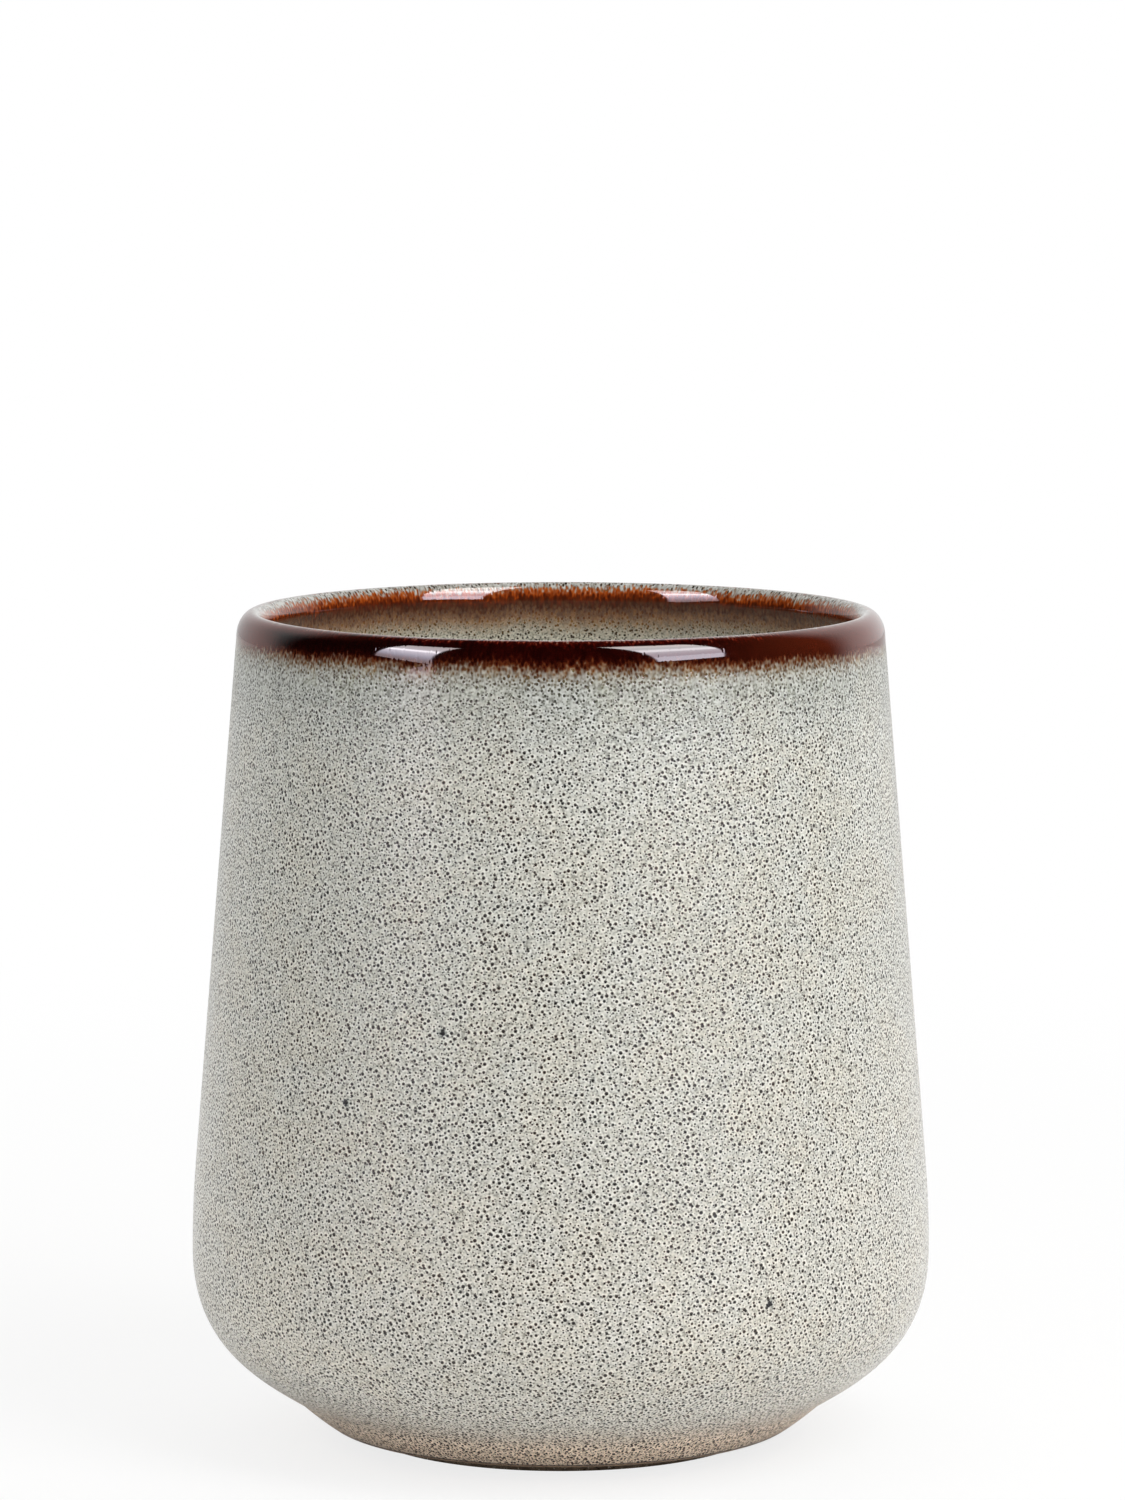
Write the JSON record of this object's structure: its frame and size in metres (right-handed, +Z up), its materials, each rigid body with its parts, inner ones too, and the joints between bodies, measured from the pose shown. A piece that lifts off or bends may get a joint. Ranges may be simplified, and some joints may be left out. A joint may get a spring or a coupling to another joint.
{
  "type": "toothbrush holder",
  "caption": "Free-standing glazed stoneware tumbler with a full belly, a short flared foot and a brown glazed lip, for standing toothbrushes in.",
  "frame": {"origin": "on the axis of the cup, in the plane of the standing ring's land", "axes": "+Z up along the axis of the cup, towards the open mouth; the cup is the same all round, so +X and +Y are free and -Y faces the camera"},
  "size_m": [0.091, 0.091, 0.102],
  "materials": {
    "clay": "unglazed, matt",
    "speckled_glaze": "satin gloss, speckled grey-green",
    "brown_glaze": "glossy, dark red-brown",
    "liner_glaze": "glossy, mottled grey-green",
    "base_glaze": "glossy, mottled grey-green"
  },
  "bodies": {
    "root": {"clay_body": "clay", "outer_glaze": "speckled_glaze", "rim_glaze": "brown_glaze", "inner_glaze": "liner_glaze", "base_glaze": "base_glaze"}
  },
  "joints": []
}
